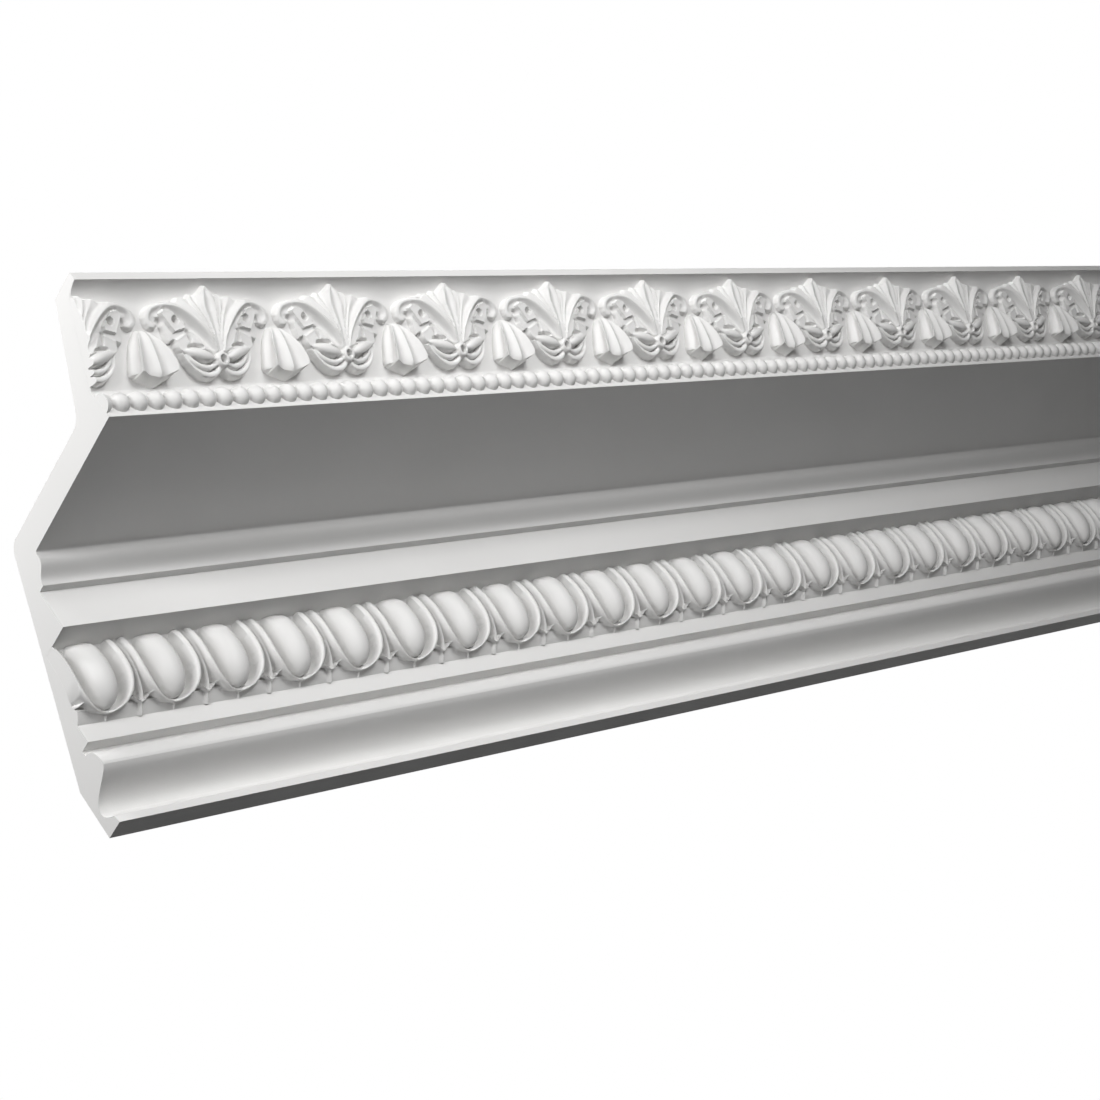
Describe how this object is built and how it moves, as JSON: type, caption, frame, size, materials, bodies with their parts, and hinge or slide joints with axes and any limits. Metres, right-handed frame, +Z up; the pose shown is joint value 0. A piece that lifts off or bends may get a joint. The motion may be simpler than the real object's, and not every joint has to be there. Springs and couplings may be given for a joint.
{
  "type": "cornice moulding section",
  "caption": "Straight length of white room cornice with a palmette band, bead row, flat soffit and egg-and-dart band, glued between wall and ceiling.",
  "frame": {"origin": "centre of the upright face that is glued to the wall, half way along the length", "axes": "+X along the moulding, +Y out of the wall face into the wall, +Z up to the ceiling; the moulding projects to -Y"},
  "size_m": [1.25, 0.222, 0.2255],
  "materials": {
    "primed_white": "matt white primer on dense polyurethane foam"
  },
  "bodies": {
    "root": {"cornice": "primed_white"}
  },
  "joints": []
}
